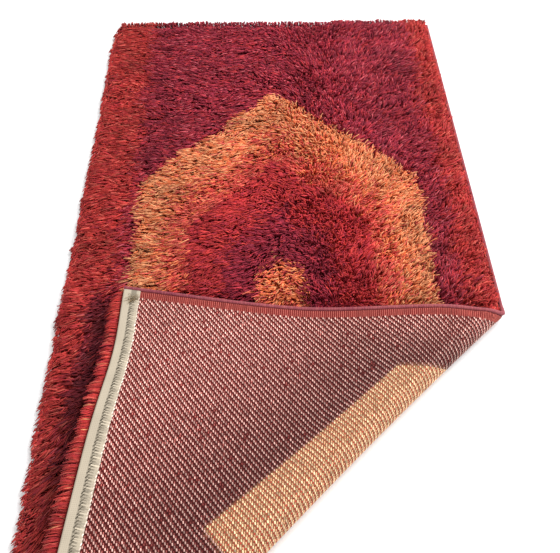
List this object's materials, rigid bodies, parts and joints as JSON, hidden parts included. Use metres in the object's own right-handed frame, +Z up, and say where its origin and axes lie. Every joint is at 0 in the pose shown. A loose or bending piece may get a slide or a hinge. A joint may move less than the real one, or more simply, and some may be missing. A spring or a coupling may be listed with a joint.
{
  "type": "shag wool rug with one corner folded over",
  "caption": "Long-pile wool rug lying flat, one corner folded over to show its woven back, with overcast long edges and cotton tape behind the ends.",
  "frame": {"origin": "on the floor, at the middle of the rug's underside as it was before its corner was folded", "axes": "+Y along the rug's length, away from the folded corner, +Z up, +X to the right"},
  "size_m": [0.7123, 1.4414, 0.0709],
  "materials": {
    "wool_pile": "long wool pile on a knotted wool ground",
    "overcast_yarn": "wrapped wool yarn",
    "cotton_tape": "plain woven cotton"
  },
  "bodies": {
    "root": {"rug_body": "wool_pile", "edge_binding_left": "overcast_yarn", "edge_binding_right": "overcast_yarn", "end_tape_near": "cotton_tape", "end_tape_far": "cotton_tape", "pile_locks_left": "wool_pile", "pile_locks_near": "wool_pile", "pile_locks_far": "wool_pile"}
  },
  "joints": []
}
